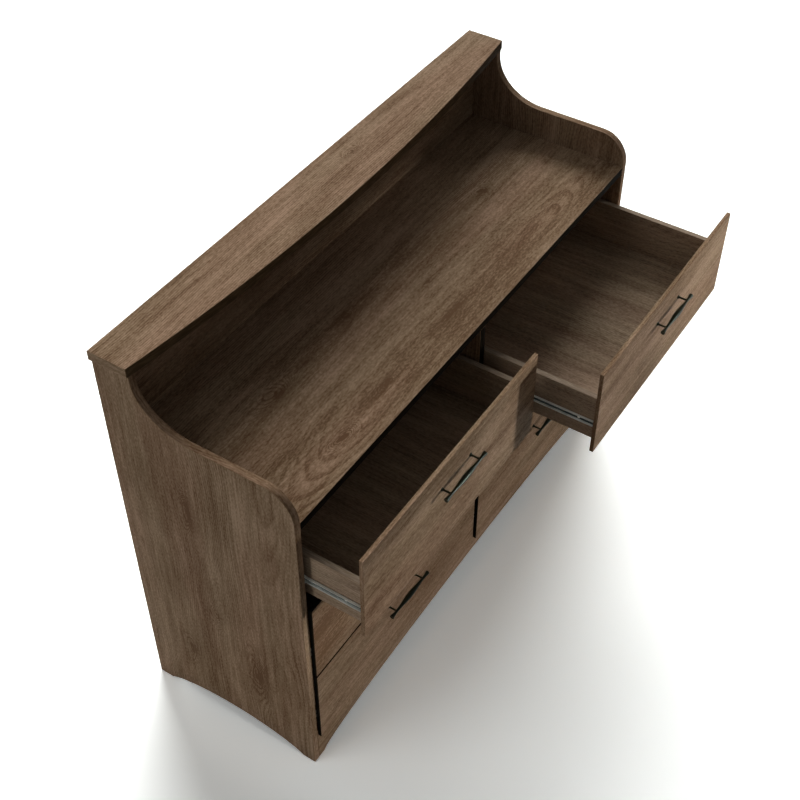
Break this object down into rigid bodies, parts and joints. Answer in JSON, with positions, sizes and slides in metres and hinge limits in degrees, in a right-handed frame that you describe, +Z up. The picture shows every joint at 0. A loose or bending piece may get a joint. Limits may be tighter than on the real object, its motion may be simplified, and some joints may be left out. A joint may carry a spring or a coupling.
{
  "type": "dresser with hutch",
  "caption": "Wide oak-look dresser: side-by-side drawers on ball bearing slides, dark bar handles, ogee-topped side panels, a raised bow-fronted shelf and an arched base.",
  "frame": {"origin": "on the floor, under the middle of the part's box as it stands with its two upper drawers drawn out", "axes": "+X to the right when facing the drawers, +Y from the front to the back, +Z up"},
  "size_m": [1.208, 0.6784, 0.926],
  "materials": {
    "oak_veneer": "satin oak-grain laminate",
    "oak_drawer": "satin oak-grain laminate",
    "dark_bronze": "satin powder coat",
    "zinc_steel": "bright zinc plate"
  },
  "bodies": {
    "carcase": {"side_left": "oak_veneer", "side_right": "oak_veneer", "centre_partition": "oak_veneer", "top_shelf": "oak_veneer", "base_apron": "oak_veneer", "main_top": "oak_veneer", "hutch_back": "oak_veneer", "bottom_panel": "oak_veneer", "back_panel": "oak_veneer", "rear_base_rail": "oak_veneer"},
    "lower_left_drawer": {"lower_left_front": "oak_veneer", "lower_left_box_left": "oak_drawer", "lower_left_box_right": "oak_drawer", "lower_left_box_back": "oak_drawer", "lower_left_box_bottom": "oak_drawer", "lower_left_rail_left": "zinc_steel", "lower_left_rail_right": "zinc_steel", "lower_left_handle": "dark_bronze"},
    "lower_right_drawer": {"lower_right_front": "oak_veneer", "lower_right_box_left": "oak_drawer", "lower_right_box_right": "oak_drawer", "lower_right_box_back": "oak_drawer", "lower_right_box_bottom": "oak_drawer", "lower_right_rail_left": "zinc_steel", "lower_right_rail_right": "zinc_steel", "lower_right_handle": "dark_bronze"},
    "middle_left_drawer": {"middle_left_front": "oak_veneer", "middle_left_box_left": "oak_drawer", "middle_left_box_right": "oak_drawer", "middle_left_box_back": "oak_drawer", "middle_left_box_bottom": "oak_drawer", "middle_left_rail_left": "zinc_steel", "middle_left_rail_right": "zinc_steel", "middle_left_handle": "dark_bronze"},
    "middle_right_drawer": {"middle_right_front": "oak_veneer", "middle_right_box_left": "oak_drawer", "middle_right_box_right": "oak_drawer", "middle_right_box_back": "oak_drawer", "middle_right_box_bottom": "oak_drawer", "middle_right_rail_left": "zinc_steel", "middle_right_rail_right": "zinc_steel", "middle_right_handle": "dark_bronze"},
    "upper_left_drawer": {"upper_left_front": "oak_veneer", "upper_left_box_left": "oak_drawer", "upper_left_box_right": "oak_drawer", "upper_left_box_back": "oak_drawer", "upper_left_box_bottom": "oak_drawer", "upper_left_rail_left": "zinc_steel", "upper_left_rail_right": "zinc_steel", "upper_left_handle": "dark_bronze"},
    "upper_right_drawer": {"upper_right_front": "oak_veneer", "upper_right_box_left": "oak_drawer", "upper_right_box_right": "oak_drawer", "upper_right_box_back": "oak_drawer", "upper_right_box_bottom": "oak_drawer", "upper_right_rail_left": "zinc_steel", "upper_right_rail_right": "zinc_steel", "upper_right_handle": "dark_bronze"}
  },
  "joints": [
    {"name": "lower_left_slide", "type": "slide", "parent": "carcase", "child": "lower_left_drawer", "axis": [0, -1, 0], "range_m": [0, 0.262]},
    {"name": "lower_right_slide", "type": "slide", "parent": "carcase", "child": "lower_right_drawer", "axis": [0, -1, 0], "range_m": [0, 0.262]},
    {"name": "middle_left_slide", "type": "slide", "parent": "carcase", "child": "middle_left_drawer", "axis": [0, -1, 0], "range_m": [0, 0.262]},
    {"name": "middle_right_slide", "type": "slide", "parent": "carcase", "child": "middle_right_drawer", "axis": [0, -1, 0], "range_m": [0, 0.262]},
    {"name": "upper_left_slide", "type": "slide", "parent": "carcase", "child": "upper_left_drawer", "axis": [0, -1, 0], "range_m": [-0.1135, 0.1485]},
    {"name": "upper_right_slide", "type": "slide", "parent": "carcase", "child": "upper_right_drawer", "axis": [0, -1, 0], "range_m": [-0.242, 0.02]}
  ]
}
